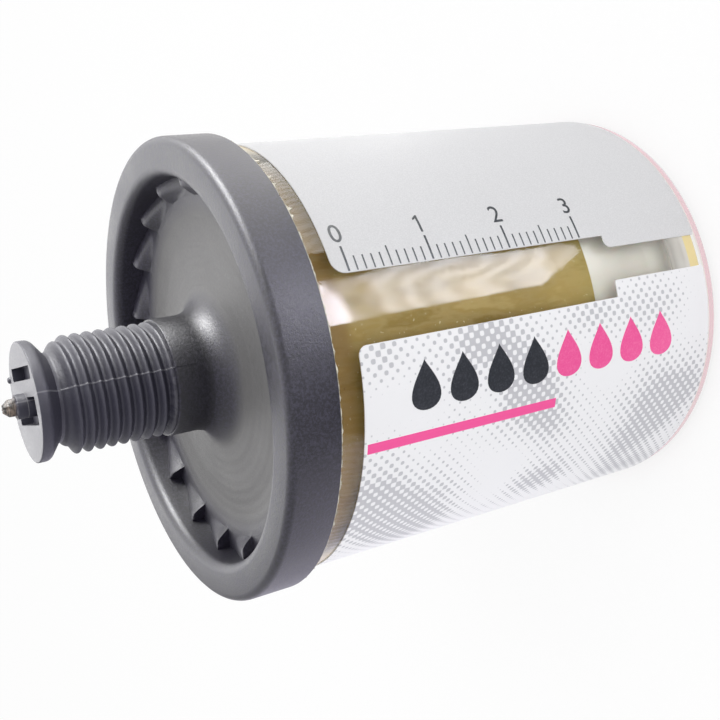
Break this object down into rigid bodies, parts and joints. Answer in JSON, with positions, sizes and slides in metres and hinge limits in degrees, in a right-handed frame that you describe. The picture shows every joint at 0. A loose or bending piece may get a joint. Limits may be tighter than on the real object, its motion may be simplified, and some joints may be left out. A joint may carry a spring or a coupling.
{
  "type": "automatic lubricator",
  "caption": "Gas-driven automatic grease lubricator: clear cup with a follower piston and scale, dark moulded cap with a threaded outlet closed by a break-off disc.",
  "frame": {"origin": "middle of the flat head-end rim that the part stands on", "axes": "+Z along the cup's axis towards the threaded outlet; the sight window faces -Y"},
  "size_m": [0.054, 0.054, 0.0822],
  "materials": {
    "cap": "satin moulded plastic",
    "clear_cup": "clear moulded plastic",
    "label": "printed film, satin",
    "ring_label": "printed film, satin",
    "grease": "soft translucent grease",
    "piston": "natural moulded plastic, slightly translucent",
    "piston_seal": "soft moulded seal",
    "generator": "satin moulded plastic",
    "o_ring": "rubber",
    "board": "coated laminate",
    "chip": "ceramic",
    "spring": "rolled strip",
    "carrier": "moulded plastic",
    "cell": "drawn steel can",
    "membrane": "fine felted film",
    "vent": "moulded plastic",
    "dial": "moulded plastic",
    "clip": "stamped spring steel",
    "wiper": "stamped strip"
  },
  "bodies": {
    "casing": {"base_cap": "cap", "container": "clear_cup", "label_wrap": "label", "end_label": "ring_label", "grease_charge": "grease", "generator_housing": "generator", "generator_o_ring": "o_ring", "circuit_board": "board", "resistor_chips": "chip", "contact_spring": "spring", "cell_carrier": "carrier", "gas_cell": "cell", "vent_membrane": "membrane", "vent_cover": "vent"},
    "piston": {"piston_body": "piston", "piston_seal": "piston_seal"},
    "dial": {"setting_dial": "dial", "dial_o_ring": "o_ring", "dial_clip": "clip", "wiper_contact": "wiper"}
  },
  "joints": [
    {"name": "piston_slide", "type": "slide", "parent": "casing", "child": "piston", "axis": [0, 0, 1], "range_m": [0, 0.0313], "deforming": ["grease_charge"]},
    {"name": "dial_turn", "type": "hinge", "parent": "casing", "child": "dial", "pos_m": [0, 0, 0.00035], "axis": [0, 0, 1], "range_deg": [0, 330]}
  ]
}
